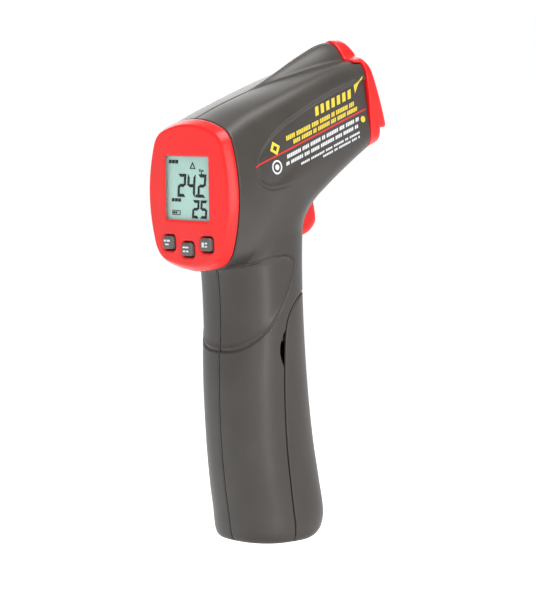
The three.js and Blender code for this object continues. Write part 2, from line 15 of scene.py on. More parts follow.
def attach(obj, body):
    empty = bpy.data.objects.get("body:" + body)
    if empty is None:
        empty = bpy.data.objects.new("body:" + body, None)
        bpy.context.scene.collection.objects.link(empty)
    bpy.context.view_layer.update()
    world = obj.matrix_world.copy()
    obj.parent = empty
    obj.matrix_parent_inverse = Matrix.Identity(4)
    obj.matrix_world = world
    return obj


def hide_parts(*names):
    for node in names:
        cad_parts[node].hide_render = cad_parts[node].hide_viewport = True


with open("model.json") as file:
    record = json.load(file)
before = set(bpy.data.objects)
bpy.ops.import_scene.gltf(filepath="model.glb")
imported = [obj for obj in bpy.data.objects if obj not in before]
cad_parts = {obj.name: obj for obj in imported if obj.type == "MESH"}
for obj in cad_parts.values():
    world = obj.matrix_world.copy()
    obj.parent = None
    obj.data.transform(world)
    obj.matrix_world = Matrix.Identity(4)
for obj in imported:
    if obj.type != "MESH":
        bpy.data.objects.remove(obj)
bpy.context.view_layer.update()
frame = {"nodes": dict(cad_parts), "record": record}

# ---- Driving dimensions (mm; the frame's own, unless a comment says otherwise) -------------------
BASE = 3.5
DATUM = np.array([0.0, -1.6, -BASE])      # drawing origin to row origin
GAP = 0.3
BARREL_WALL = 1.8
HANDLE_WALL = 1.2
BEZEL_BACK = -30.0
BEZEL_FACE = -34.2
BEZEL_CENTRE = 113.5
BEZEL_HALF = (21.2, 23.4)
PITCH = math.radians(20)
CAP_TILT = math.radians(6)
CAP_FACE_TILT = math.radians(19)
LENS_ORIGIN = (0.0, 29.7, 140.0)
LASER_RISE = 12.9
LENS_BORE, LASER_BORE = 8.7, 3.3         # radii of the cap's two openings, tighter than the frame's
DOOR_TOP = 83.0
HINGE = (-3.6, 5.8)
HINGE_ROUND = 2.5
HINGE_EAR = (9.0, 10.7)
PIVOT = (7.0, 116.5)
SPRING_RISE = 109.4              # height of the trigger's return spring
NOTCH = (-1.7, 65.0, 9.5)        # Y, Z and radius of the finger notches beside the door
LCD_SIZE = (21.2, 19.7)
LCD_CENTRE = 115.7
KEYS = {"left": (-9.3, 98.7), "middle": (0.0, 96.9), "right": (9.3, 98.7)}
KEY_SIZE = (5.2, 4.1)
KEY_PROUD = 0.7
BOSSES = ((-15, 133.5), (18, 121.8), (-15, 84), (-12.6, 8.05))
HANDLE_POWER = 2.35

# The smooth surface's own sections and nose, which the frame has in a plainer form.
SIDE_BOW = (44, 100)     # radius of the barrel's sides in section, at the back and at the front
CROWN_BOW = (34, 68)     # the same for the crown
BELLY_BOW = 45           # the same for the underside
SHOULDER = (2.4, 4.6)    # rounding where the sides meet the crown, at the back and at the front
HIP = (3.6, 5.2)         # rounding where the sides meet the underside, at the back and at the front
NOSE_BACK = (27.2, 153.1)        # the cap's nose starts this far forward, above this height
NOSE_AHEAD = 1.7                 # how far the nose stands ahead of the cap's face

HANDLE = (      # height, rear Y, front Y, half width
    (3.5, -15.8, 3.6, 12.6), (4.2, -17.5, 7.6, 15.2), (6, -18.7, 10.6, 16.6), (9, -19.3, 12.3, 17.1),
    (13, -19.8, 12.8, 17.1), (22, -21.1, 11.4, 16.9), (36, -22.3, 9.1, 16.6), (54, -22.7, 6.9, 16.7),
    (74, -22.0, 5.2, 17.1), (90, -22.8, 5.0, 17.2), (104, -26.0, 6.2, 17.0), (114, -27.0, 7.6, 16.4),
)
BARREL = (      # Y, underside Z (a little higher in front than the frame's), crown Z, half width
    (-30, 90.0, 136.8, 21.2), (-20, 91.5, 140.9, 20.3), (-8, 98.0, 145.0, 18.8), (5, 107.4, 149.2, 17.0),
    (18, 116.4, 152.8, 15.2), (32, 125.1, 155.2, 13.7), (42, 130.3, 157.0, 13.0),
)
HUMP = (        # Y, crest Z, half width
    (-10, 144.4, 0.6), (0, 149.3, 3.0), (13, 156.0, 5.8),
    (22, 159.6, 7.3), (32, 160.2, 7.9), (42, 160.6, 7.9),
)
DOOR_SEAM = (   # (Y, Z) from the base up to the top of the door
    (-5.9, 0), (-6.2, 9), (-7.2, 18), (-8.7, 34), (-9.4, 50), (-9.2, 66), (-8.2, 74), (-5.0, 79.2),
    (-0.5, 82), (8, DOOR_TOP),
)


# ---- Implicit shapes -------------------------------------------------------------------------------------
def stations(table, at):
    """Every later column of the table at `at`, on a smooth curve through its rows."""
    rows = np.array(table, float)
    last = len(rows) - 1
    at = np.clip(at, rows[0, 0], rows[last, 0])
    i = np.clip(np.searchsorted(rows[:, 0], at, side="right") - 1, 0, last - 1)
    a, b = rows[i], rows[i + 1]
    before, after = rows[np.maximum(i - 1, 0)], rows[np.minimum(i + 2, last)]
    span = b[..., :1] - a[..., :1]
    u = (at[..., None] - a[..., :1]) / span
    slope_a = (b - before) / (b[..., :1] - before[..., :1]) * span
    slope_b = (after - a) / (after[..., :1] - a[..., :1]) * span
    value = ((2 * u**3 - 3 * u**2 + 1) * a + (u**3 - 2 * u**2 + u) * slope_a
             + (3 * u**2 - 2 * u**3) * b + (u**3 - u**2) * slope_b)
    return [value[..., k] for k in range(1, rows.shape[1])]


def join(a, b, blend):
    """Union of two fields with a fillet about `blend` wide."""
    h = np.clip(0.5 + 0.5 * (b - a) / blend, 0, 1)
    return b + (a - b) * h - blend * h * (1 - h)


def common(a, b, blend):
    return -join(-a, -b, blend)


def cut(a, b, blend):
    return common(a, -b, blend)


def ramp(value, low, high):
    """0 below low, 1 above high, smooth between."""
    t = np.clip((value - low) / (high - low), 0, 1)
    return t * t * (3 - 2 * t)


def between(pair, share):
    """The value a share of the way from the first of the pair to the second."""
    return pair[0] + (pair[1] - pair[0]) * share


def oval(u, v, half_u, half_v, power):
    """Distance to a superellipse, measured along the ray from its centre."""
    r = (np.abs(u / half_u) ** power + np.abs(v / half_v) ** power) ** (1 / power)
    r = np.maximum(r, 1e-4)
    return np.sqrt(u * u + v * v + 1e-8) * (1 - 1 / r)


def rounded_box(u, v, half_u, half_v, radius):
    du = np.abs(u) - half_u + radius
    dv = np.abs(v) - half_v + radius
    outside = np.sqrt(np.maximum(du, 0) ** 2 + np.maximum(dv, 0) ** 2)
    return outside + np.minimum(np.maximum(du, dv), 0) - radius


def slab(value, low, high):
    return np.maximum(low - value, value - high)


def curve_distance(u, v, points):
    """Distance from (u, v) to a polyline."""
    best = None
    for (au, av), (bu, bv) in zip(points[:-1], points[1:]):
        du, dv = bu - au, bv - av
        t = np.clip(((u - au) * du + (v - av) * dv) / (du * du + dv * dv), 0, 1)
        d = (u - au - t * du) ** 2 + (v - av - t * dv) ** 2
        best = d if best is None else np.minimum(best, d)
    return np.sqrt(best)


def outline_distance(u, v, points):
    """Signed distance to a closed outline, negative inside."""
    loop = list(points) + [points[0]]
    inside = np.zeros(np.broadcast(u, v).shape, bool)
    for (au, av), (bu, bv) in zip(loop[:-1], loop[1:]):
        if av != bv:
            inside ^= ((av > v) != (bv > v)) & (u < (bu - au) * (v - av) / (bv - av) + au)
    return curve_distance(u, v, loop) * np.where(inside, -1.0, 1.0)


def smooth_line(points, steps=6, closed=False):
    """More points on a smooth curve through the given ones."""
    p = np.array(points, float)
    n = len(p)
    out = []
    for i in range(n if closed else n - 1):
        a, b = p[i], p[(i + 1) % n]
        before = p[(i - 1) % n] if closed or i > 0 else a
        after = p[(i + 2) % n] if closed or i + 2 < n else b
        for k in range(steps):
            u = k / steps
            out.append((2 * u**3 - 3 * u**2 + 1) * a + (u**3 - 2 * u**2 + u) * (b - before) / 2
                       + (3 * u**2 - 2 * u**3) * b + (u**3 - u**2) * (after - a) / 2)
    if not closed:
        out.append(p[-1])
    return [tuple(q) for q in out]


def ahead_of(y, z, y0, z0, tilt):
    """Signed distance ahead of a plane that leans back by `tilt`, positive in front."""
    return (y - y0) * math.cos(tilt) + (z - z0) * math.sin(tilt)


def cap_joint(y, z, shift):
    """Positive on the cap's side of the joint; the nose over the laser starts further back."""
    main = ahead_of(y, z, LENS_ORIGIN[1] + shift, LENS_ORIGIN[2], CAP_TILT)
    nose = ahead_of(y, z, NOSE_BACK[0] + shift, LENS_ORIGIN[2], CAP_TILT)
    return np.maximum(main, np.minimum(nose, z - NOSE_BACK[1] - shift))


def lens_axes(y, z):
    """(distance along, distance above) of the lens axis."""
    dy, dz = y - LENS_ORIGIN[1], z - LENS_ORIGIN[2]
    return dy * math.cos(PITCH) + dz * math.sin(PITCH), dz * math.cos(PITCH) - dy * math.sin(PITCH)


# ---- Outer form of the housing -------------------------------------------------------------------
def handle(x, y, z):
    rear, front, half = stations(HANDLE, z)
    column = oval(x, y - (rear + front) / 2, half, (front - rear) / 2, HANDLE_POWER)
    return common(common(column, BASE - z, 0.5), z - 114.0, 5.0)


def cushion(x, v, half, rise, forward):
    """Section with bowed sides, a low arched crown and an arched underside.

    forward is 0 at the back of the barrel and 1 at its front.
    """
    side = np.abs(x) - half + v * v / (2 * between(SIDE_BOW, forward))
    crown = v - rise + x * x / (2 * between(CROWN_BOW, forward))
    belly = -v - rise + x * x / (2 * BELLY_BOW)
    return common(common(side, crown, between(SHOULDER, forward)), belly, between(HIP, forward))


def barrel(x, y, z):
    under, crown, half = stations(BARREL, y)
    return cushion(x, z - (under + crown) / 2, half, (crown - under) / 2 + 0.3, ramp(y, -25, 28))


def hump(x, y, z):
    """Ridge over the laser: a rounded crest with flanks that drop to the crown."""
    crest, half = stations(HUMP, y)
    depth = np.maximum(half * 1.25, 1.2)
    return common(oval(x, z - crest + depth, half * 0.92, depth, 1.7), -10.0 - y, 0.4)


def body(x, y, z):
    """The whole grey form, before seams and grooves."""
    fillet = 2.5 + 6.5 * ramp(y, -12, 2) * (1 - 0.7 * ramp(np.abs(x), 6, 15))
    grip = join(barrel(x, y, z), handle(x, y, z), fillet)
    return join(grip, hump(x, y, z), 0.9)


WEB_LOOP = smooth_line((
    (-29, 90.6), (-26.4, 90.5), (-22, 91.2), (-17.1, 92.8), (-12.9, 94.2), (-8.8, 94.6), (-5.6, 93.3),
    (-4.9, 90.5), (-6.4, 86.2), (-9.1, 81.3), (-12.5, 75.1), (-16.8, 69.7), (-21.6, 64.9),
    (-25.9, 62.9), (-29, 62.6),
), 5)
LABEL_TOP = (
    (-22, 119.5), (-20.3, 125.0), (-16, 129.8), (-9.8, 134.2), (-3, 137.6), (4.5, 141), (13.9, 144.6),
    (23.7, 147.4), (34, 149.6),
)
LABEL_LOW = ((-22, 118.6), (-20.3, 116.9), (-16.3, 115.4), (-10, 115.8), (0, 118.6), (12, 123), (34, 131))

LABEL_EDGE = smooth_line((
    (-5, 117.0), (-10, 115.8), (-16.3, 115.4), (-20.3, 116.9), (-21.9, 119.5), *LABEL_TOP[1:-1],
), 4)


def relief(x, y, z):
    """Depth of the label recess with its creased edge, and of the web panel with its groove."""
    side = ramp(np.abs(x), 6, 9)
    top, = stations(LABEL_TOP, y)
    low, = stations(LABEL_LOW, y)
    lip = 1.6 + 8.0 * ramp(y, -16, 4)
    label = 0.85 * ramp(top - z, 0, 1.2) * ramp(z - low, 0, lip) * ramp(y, -22.0, -20.2) * side
    loop = outline_distance(y, z, WEB_LOOP)
    groove = 0.42 * np.maximum(0, 1 - (curve_distance(y, z, WEB_LOOP) / 0.5) ** 2)
    panel = 0.28 * ramp(-loop, 0, 1.6)
    fading = np.maximum(ramp(z, 118.5, 121), 1 - ramp(y, -15, -5))
    crease = 0.36 * np.maximum(0, 1 - (curve_distance(y, z, LABEL_EDGE) / 0.65) ** 2) * side * fading
    return label + crease + groove + panel


DOOR_SIDE = smooth_line(DOOR_SEAM, 4) + [(24, DOOR_TOP), (24, -4), (-5.9, -4)]


def wall(z):
    return HANDLE_WALL + (BARREL_WALL - HANDLE_WALL) * ramp(z, 78, 92)


def shelves(x, y, z):
    """Ribs inside each half: battery shelf, bay roof and the switch board's grips."""
    battery_shelf = np.maximum(slab(z, 10.6, 12.4), slab(y, -20, -8.5))
    bay_roof = np.maximum(slab(z, 70.6, 72), slab(y, -22, 1.2))
    grips = np.maximum(np.maximum(slab(z, 96, 102.4), slab(y, -6.2, -3)), 7.8 - np.abs(x))
    hole = np.maximum(slab(y, -12.4, -8.6), slab(x, 4.6, 9.8))
    return np.minimum(np.minimum(battery_shelf, np.maximum(bay_roof, -hole)), grips)


def posts(x, y, z):
    """Screw posts, and the two bosses that hold the trigger's pin."""
    found = np.maximum(np.hypot(y - PIVOT[0], z - PIVOT[1]) - 2.6, 6 - np.abs(x))
    for by, bz in BOSSES:
        found = np.minimum(found, np.hypot(y - by, z - bz) - np.where(x < -6, 3.4, 2.4))
    return found


def bores(x, y, z):
    """What is drilled out of the posts: pin holes, screw holes and the wells of the left half."""
    found = np.maximum(np.hypot(y - PIVOT[0], z - PIVOT[1]) - 1.4, np.abs(x) - 9.3)
    for by, bz in BOSSES:
        hole = np.hypot(y - by, z - bz)
        found = np.minimum(found, np.maximum(hole - 1.3, x - 7))
        found = np.minimum(found, np.maximum(hole - 2.5, x + 7.5))
    return found


def hinge_reach(y, z):
    return np.hypot(y - HINGE[0], z - HINGE[1])


def hinge_ears(x, y, z):
    """The housing's two ears, which hold the door's pin."""
    neck = np.maximum(slab(y, -9, HINGE[0]), np.abs(z - HINGE[1]) - 1.4)
    return np.maximum(np.minimum(hinge_reach(y, z) - 1.9, neck), slab(np.abs(x), *HINGE_EAR))


TRIGGER_SLOT = ((1.5, 98.4), (18, 98.4), (14.4, 116.5), (10.6, 121.5), (1.5, 121.5))


def housing(side):
    """Field of one clamshell half; side is -1 on the left and 1 on the right."""
    def field(x, y, z):
        skin = body(x, y, z)
        outer = skin + relief(x, y, z)
        inner = skin + wall(z)
        shell = cut(outer, inner, 0.25)
        ribs = np.maximum(np.minimum(shelves(x, y, z), posts(x, y, z)), skin + 0.8)
        shell = np.minimum(shell, ribs)
        shell = cut(shell, outline_distance(y, z, DOOR_SIDE) - GAP, 0.6)
        shell = cut(shell, np.hypot(y - NOTCH[0], z - NOTCH[1]) - NOTCH[2], 0.5)
        shell = np.minimum(shell, np.maximum(hinge_ears(x, y, z), skin + 0.1))
        slot = np.maximum(outline_distance(y, z, TRIGGER_SLOT), np.abs(x) - 5.7)
        shell = cut(shell, slot, 0.6)
        shell = cut(shell, bores(x, y, z), 0.35)
        shell = common(shell, BEZEL_BACK - y, 0.5)
        shell = common(shell, cap_joint(y, z, 0), 0.4)
        return common(shell, GAP / 2 - x * side, 0.6)
    return field


def battery_door(x, y, z):
    skin = body(x, y, z)
    shell = cut(skin, skin + HANDLE_WALL, 0.25)
    shell = common(shell, outline_distance(y, z, DOOR_SIDE), 0.6)
    reach = HINGE_EAR[0] - GAP
    knuckle = np.maximum(hinge_reach(y, z) - 2.0, np.abs(x) - reach)
    web = np.maximum(np.maximum(slab(y, HINGE[0], 0.5), slab(z, BASE + 0.3, BASE + 3)), np.abs(x) - reach)
    arm = np.maximum(slab(np.abs(x), 13.5, 16.3), slab(y, -8.6, -5))
    toe = np.maximum(slab(np.abs(x), 13.5, 14.6), slab(y, -12.6, -5))
    hooks = np.maximum(np.minimum(np.maximum(arm, skin + 0.6), toe), slab(z, 67.2, 69.4))
    solid = np.minimum(np.minimum(shell, np.minimum(knuckle, web)), hooks)
    heel = np.maximum(np.maximum(y - HINGE[0], z - HINGE[1]), HINGE_ROUND - hinge_reach(y, z))
    round_ear = np.maximum(y - HINGE[0] - 2.3, z - HINGE[1] - 2.4)
    ear_slots = np.maximum(slab(np.abs(x), reach, HINGE_EAR[1] + GAP), round_ear)
    bore = np.maximum(hinge_reach(y, z) - 1.1, np.abs(x) - reach - 1)
    return np.maximum(np.maximum(np.maximum(solid, -heel), -ear_slots), -bore)


# ---- Red pieces and keys -------------------------------------------------------------------------
def bezel_outline(x, z):
    return cushion(x, z - BEZEL_CENTRE, BEZEL_HALF[0], BEZEL_HALF[1] + 0.3, 0)


def display_bezel(x, y, z):
    outline = bezel_outline(x, z)
    dome = BEZEL_FACE + 0.6 * ramp(outline, -16, 1.5)
    taper = 2.3 * np.clip((BEZEL_BACK - y) / (BEZEL_BACK - BEZEL_FACE), 0, 1.3) ** 1.3
    solid = common(outline + taper, dome - y, 0.55)
    solid = common(solid, y - BEZEL_BACK + GAP, 0.5)
    skirt = np.maximum(outline + 2.2, slab(y, BEZEL_BACK - 1.2, BEZEL_BACK + 1.8))
    solid = np.minimum(solid, skirt)
    solid = np.maximum(solid, -np.maximum(outline + 3.3, BEZEL_FACE + 1.8 - y))
    window = rounded_box(x, z - LCD_CENTRE, LCD_SIZE[0] / 2, LCD_SIZE[1] / 2, 0.7)
    seat = rounded_box(x, z - LCD_CENTRE, LCD_SIZE[0] / 2 + 1.8, LCD_SIZE[1] / 2 + 1.3, 1.2)
    solid = cut(solid, window, 0.55)
    solid = np.maximum(solid, -np.maximum(seat, BEZEL_FACE + 0.6 - y))
    for kx, kz in KEYS.values():
        hole = rounded_box(x - kx, z - kz, KEY_SIZE[0] / 2 + 0.45, KEY_SIZE[1] / 2 + 0.45, 1.3)
        solid = cut(solid, hole, 0.6)
    return solid


def front_cap(x, y, z):
    along, above = lens_axes(y, z)
    skin = join(barrel(x, y, z), hump(x, y, z), 0.9) - 0.5 * ramp(along, -2, 3)
    solid = common(skin, -cap_joint(y, z, GAP), 0.35)
    face = ahead_of(y, z, 35.6, 140, CAP_FACE_TILT) - NOSE_AHEAD * ramp(z, 153.6, 156.6)
    low_face = ahead_of(y, z, 34.6, 133.5, CAP_FACE_TILT)
    solid = common(solid, face, 1.6)
    solid = common(solid, np.minimum(low_face, 132.6 - z), 0.9)
    lens_bore = np.hypot(x, above) - LENS_BORE
    laser_bore = np.hypot(x, above - LASER_RISE) - LASER_BORE
    solid = cut(solid, lens_bore, 0.9)
    solid = cut(solid, laser_bore, 0.5)
    return np.maximum(solid, -np.maximum(np.hypot(x, above) - 11, along - 0.6))


TRIGGER_SIDE = smooth_line((
    (4.2, 114), (3.4, 107), (3.4, 100.2), (6.2, 98.8), (11.2, 99.4), (14.6, 102.2), (15.2, 105.4),
    (13.4, 113.2), (10.2, 117.8), (7, 119.5), (4.6, 118),
), 5, closed=True)


def trigger(x, y, z):
    blade = common(outline_distance(y, z, TRIGGER_SIDE), np.abs(x) - 5.2, 3.0)
    post = np.maximum(np.maximum(slab(y, 2.0, 5), slab(z, 101.6, 104.4)), np.abs(x) - 1.5)
    pin = np.hypot(y - PIVOT[0], z - PIVOT[1]) - 1.4
    spring_seat = np.maximum(np.hypot(x, z - SPRING_RISE) - 3.3, y - 5.0)
    return np.maximum(np.minimum(blade, post), -np.minimum(pin, spring_seat))


def key_field(centre):
    def field(x, y, z):
        u, v = x - centre[0], z - centre[1]
        sides = rounded_box(u, v, KEY_SIZE[0] / 2, KEY_SIZE[1] / 2, 1.1)
        crown = BEZEL_FACE - KEY_PROUD + 0.05 * (u * u + v * v) / 2 - y
        return common(common(sides, crown, 0.8), y - BEZEL_FACE - 2.2, 0.1)
    return field


# ---- From a field to a mesh ----------------------------------------------------------------------
def gradient(field, p, step=0.02):
    grad = np.empty_like(p)
    for axis in range(3):
        offset = np.zeros(3)
        offset[axis] = step
        grad[:, axis] = (field(*(p + offset).T) - field(*(p - offset).T)) / (2 * step)
    return grad


def settle(field, p, reach, rounds=3):
    """Moves points onto the field's surface along its gradient, never by more than `reach` in a round."""
    for _ in range(rounds):
        grad = gradient(field, p)
        value = field(*p.T)
        size = np.maximum((grad**2).sum(1), 0.05)
        move = -(value / size)[:, None] * grad
        length = np.linalg.norm(move, axis=1, keepdims=True)
        p = p + move * np.minimum(1, reach / np.maximum(length, 1e-9))
    return p


def surface_net(field, low, high, cell):
    """Points and quads of the field's zero surface inside a box."""
    axes = [np.arange(a, b + cell, cell) for a, b in zip(low, high)]
    values = field(axes[0][:, None, None], axes[1][None, :, None], axes[2][None, None, :])
    shape = tuple(len(a) for a in axes)
    values = np.broadcast_to(values, shape)
    inside = values < 0
    corners = [(i, j, k) for i in (0, 1) for j in (0, 1) for k in (0, 1)]
    window = lambda grid, c: grid[tuple(slice(o, n - 1 + o) for o, n in zip(c, shape))]
    count = sum(window(inside, c).astype(np.uint8) for c in corners)
    cells = np.argwhere((count > 0) & (count < 8))
    total = np.zeros((len(cells), 3))
    hits = np.zeros(len(cells))
    at = lambda c: values[cells[:, 0] + c[0], cells[:, 1] + c[1], cells[:, 2] + c[2]]
    for a in corners:
        for axis in range(3):
            if a[axis]:
                continue
            b = tuple(v + (n == axis) for n, v in enumerate(a))
            va, vb = at(a), at(b)
            crossed = (va < 0) != (vb < 0)
            t = np.where(crossed, va / np.where(crossed, va - vb, 1), 0)
            total += crossed[:, None] * (np.array(a) + t[:, None] * (np.array(b) - np.array(a)))
            hits += crossed
    points = (cells + total / hits[:, None]) * cell + np.array([a[0] for a in axes])
    ids = np.full(tuple(n - 1 for n in shape), -1, np.int64)
    ids[tuple(cells.T)] = np.arange(len(cells))
    quads = []
    for axis in range(3):
        u, v = [n for n in range(3) if n != axis]
        low_side = [slice(1, n - 1) for n in shape]
        low_side[axis] = slice(0, shape[axis] - 1)
        high_side = list(low_side)
        high_side[axis] = slice(1, shape[axis])
        a, b = inside[tuple(low_side)], inside[tuple(high_side)]
        spots = np.argwhere(a != b)
        flip = a[tuple(spots.T)] == (axis == 1)
        ring = []
        for du, dv in ((0, 0), (1, 0), (1, 1), (0, 1)):
            spot = spots.copy()
            spot[:, u] += du
            spot[:, v] += dv
            ring.append(ids[tuple(spot.T)])
        quad = np.stack(ring, 1)
        quad[flip] = quad[flip][:, ::-1]
        quads.append(quad)
    return settle(field, points, cell * 0.6), np.concatenate(quads)


def to_row(points):
    return (np.asarray(points, float) + DATUM) / 1000


def mesh_object(name, points, faces, smooth=True):
    mesh = bpy.data.meshes.new(name)
    mesh.from_pydata(to_row(points).tolist(), [], [list(map(int, f)) for f in faces])
    mesh.validate()
    mesh.update()
    mesh.shade_smooth() if smooth else mesh.shade_flat()
    obj = bpy.data.objects.new(name, mesh)
    bpy.context.scene.collection.objects.link(obj)
    return obj


def refine(obj, field, near, cell):
    """Splits the faces where near(points) holds, then settles every point on the field again."""
    bm = bmesh.new()
    bm.from_mesh(obj.data)
    points = np.array([v.co[:] for v in bm.verts]) * 1000 - DATUM
    chosen = near(points)
    edges = [e for e in bm.edges if chosen[e.verts[0].index] and chosen[e.verts[1].index]]
    bmesh.ops.subdivide_edges(bm, edges=edges, cuts=1, use_grid_fill=True)
    bm.verts.ensure_lookup_table()
    points = np.array([v.co[:] for v in bm.verts]) * 1000 - DATUM
    points = to_row(settle(field, points, cell * 0.4, 3))
    for v, co in zip(bm.verts, points):
        v.co = co
    bm.to_mesh(obj.data)
    bm.free()
    obj.data.shade_smooth()


def implicit(name, field, low, high, cell, near=None):
    """One piece: a surface net, made finer where near(points) holds."""
    points, quads = surface_net(field, low, high, cell)
    obj = mesh_object(name, points, quads)
    if near is not None:
        refine(obj, field, near, cell / 2)
    return obj


class Soup:
    """Closed solids gathered into one mesh."""

    def __init__(self):
        self.points, self.faces = [], []

    def add(self, points, faces):
        start = len(self.points)
        self.points += [tuple(p) for p in points]
        self.faces += [[start + i for i in face] for face in faces]

    def prism(self, outline, near, far):
        """Outline drawn in X, Z, from Y = near to Y = far."""
        n = len(outline)
        area = sum(a[0] * b[1] - b[0] * a[1] for a, b in zip(outline, outline[1:] + outline[:1]))
        loop = outline if area > 0 else outline[::-1]
        points = [(x, near, z) for x, z in loop] + [(x, far, z) for x, z in loop]
        sides = [[i, i + n, (i + 1) % n + n, (i + 1) % n] for i in range(n)]
        self.add(points, [list(range(n)), list(range(2 * n - 1, n - 1, -1))] + sides)

    def patch(self, drape, shape, rows, columns, wrap=False):
        """Thin shell over shape(u, v), 0 to 1 each way, laid on a surface by drape()."""
        u = np.linspace(0, 1, rows + 1)
        v = np.linspace(0, 1, columns + 1)[: columns if wrap else columns + 1]
        flat = [shape(a, b) for a in u for b in v]
        points, normals = drape(np.array(flat))
        count, width = len(flat), len(v)
        shell = np.concatenate([points + normals * PRINT_RISE, points - normals * PRINT_RISE])
        steps = width if wrap else width - 1
        at = lambda i, j, layer: layer * count + i * width + j % width
        faces = []
        for i in range(rows):
            for j in range(steps):
                faces.append([at(i, j, 0), at(i + 1, j, 0), at(i + 1, j + 1, 0), at(i, j + 1, 0)])
                faces.append([at(i, j, 1), at(i, j + 1, 1), at(i + 1, j + 1, 1), at(i + 1, j, 1)])
        for j in range(steps):
            faces.append([at(0, j, 0), at(0, j + 1, 0), at(0, j + 1, 1), at(0, j, 1)])
            faces.append([at(rows, j + 1, 0), at(rows, j, 0), at(rows, j, 1), at(rows, j + 1, 1)])
        for i in range(0 if wrap else rows):
            faces.append([at(i + 1, 0, 0), at(i, 0, 0), at(i, 0, 1), at(i + 1, 0, 1)])
            faces.append([at(i, steps, 0), at(i + 1, steps, 0), at(i + 1, steps, 1), at(i, steps, 1)])
        self.add(shell, faces)

    def build(self, name, smooth=False):
        obj = mesh_object(name, self.points, self.faces, smooth)
        bm = bmesh.new()
        bm.from_mesh(obj.data)
        bmesh.ops.recalc_face_normals(bm, faces=bm.faces)
        bm.to_mesh(obj.data)
        bm.free()
        return obj


PRINT_RISE = 0.04


def drape_along(field, axis, outer, inner):
    """Puts flat points on the field's surface, looking along one axis from outer to inner."""
    others = [n for n in range(3) if n != axis]

    def drape(flat):
        p = np.zeros((len(flat), 3))
        p[:, others] = flat
        far, near = np.full(len(flat), float(outer)), np.full(len(flat), float(inner))
        for _ in range(22):
            p[:, axis] = (far + near) / 2
            out = field(*p.T) > 0
            far = np.where(out, p[:, axis], far)
            near = np.where(out, near, p[:, axis])
        grad = gradient(field, p)
        return p, grad / np.linalg.norm(grad, axis=1, keepdims=True)
    return drape


# ---- Materials -----------------------------------------------------------------------------------
def new_material(name):
    material = bpy.data.materials.new(name)
    material.use_nodes = True
    nodes = material.node_tree.nodes
    return material, nodes, material.node_tree.links, nodes["Principled BSDF"]


def noise(nodes, links, scale, detail=2.0):
    """Noise in the object's own metres."""
    where = nodes.new("ShaderNodeTexCoord")
    texture = nodes.new("ShaderNodeTexNoise")
    texture.inputs["Scale"].default_value = scale
    texture.inputs["Detail"].default_value = detail
    links.new(where.outputs["Object"], texture.inputs["Vector"])
    return texture.outputs["Fac"]


def ramp_of(nodes, links, fac, stops):
    node = nodes.new("ShaderNodeValToRGB")
    links.new(fac, node.inputs["Fac"])
    for element, (place, colour) in zip(node.color_ramp.elements, stops):
        element.position = place
        element.color = (*colour, 1)
    return node.outputs["Color"]


def tinted(colour, share):
    return tuple(min(1.0, c * share) for c in colour)


def moulded(name, colour, rough, grain=2400, depth=0.03, mottle=0.06, level=0.5):
    """Moulded or turned finish: fine grain in relief, slight mottling in colour and in gloss."""
    material, nodes, links, shader = new_material(name)
    cloud = noise(nodes, links, 90, 3)
    stops = ((0.35, tinted(colour, 1 - mottle)), (0.65, tinted(colour, 1 + mottle)))
    tone = ramp_of(nodes, links, cloud, stops)
    links.new(tone, shader.inputs["Base Color"])
    shader.inputs["Specular IOR Level"].default_value = level
    fine = noise(nodes, links, grain, 3)
    gloss = nodes.new("ShaderNodeMapRange")
    gloss.inputs["To Min"].default_value = rough - 0.05
    gloss.inputs["To Max"].default_value = rough + 0.07
    links.new(fine, gloss.inputs["Value"])
    links.new(gloss.outputs["Result"], shader.inputs["Roughness"])
    bump = nodes.new("ShaderNodeBump")
    bump.inputs["Strength"].default_value = 1.0
    bump.inputs["Distance"].default_value = depth / 1000
    links.new(fine, bump.inputs["Height"])
    links.new(bump.outputs["Normal"], shader.inputs["Normal"])
    return material


def clear_sheet(name, colour, alpha, level=0.5):
    material, nodes, links, shader = new_material(name)
    dust = noise(nodes, links, 700, 2)
    tone = ramp_of(nodes, links, dust, ((0.4, colour), (0.7, tinted(colour, 0.96))))
    links.new(tone, shader.inputs["Base Color"])
    shader.inputs["Roughness"].default_value = 0.06
    shader.inputs["Specular IOR Level"].default_value = level
    shader.inputs["Alpha"].default_value = alpha
    return material


def brushed(name, colour, rough):
    """Metal with fine turned lines."""
    material, nodes, links, shader = new_material(name)
    lines = noise(nodes, links, 5200, 1)
    tone = ramp_of(nodes, links, lines, ((0.3, tinted(colour, 0.85)), (0.7, colour)))
    links.new(tone, shader.inputs["Base Color"])
    shader.inputs["Metallic"].default_value = 1.0
    shader.inputs["Roughness"].default_value = rough
    return material


def display_glass():
    """Liquid crystal cell: pale green, a little uneven, smooth on top."""
    material, nodes, links, shader = new_material("display_glass")
    cloud = noise(nodes, links, 45, 1)
    tone = ramp_of(nodes, links, cloud, ((0.3, (0.38, 0.62, 0.56)), (0.7, (0.42, 0.67, 0.60))))
    links.new(tone, shader.inputs["Base Color"])
    shader.inputs["Roughness"].default_value = 0.35
    return material


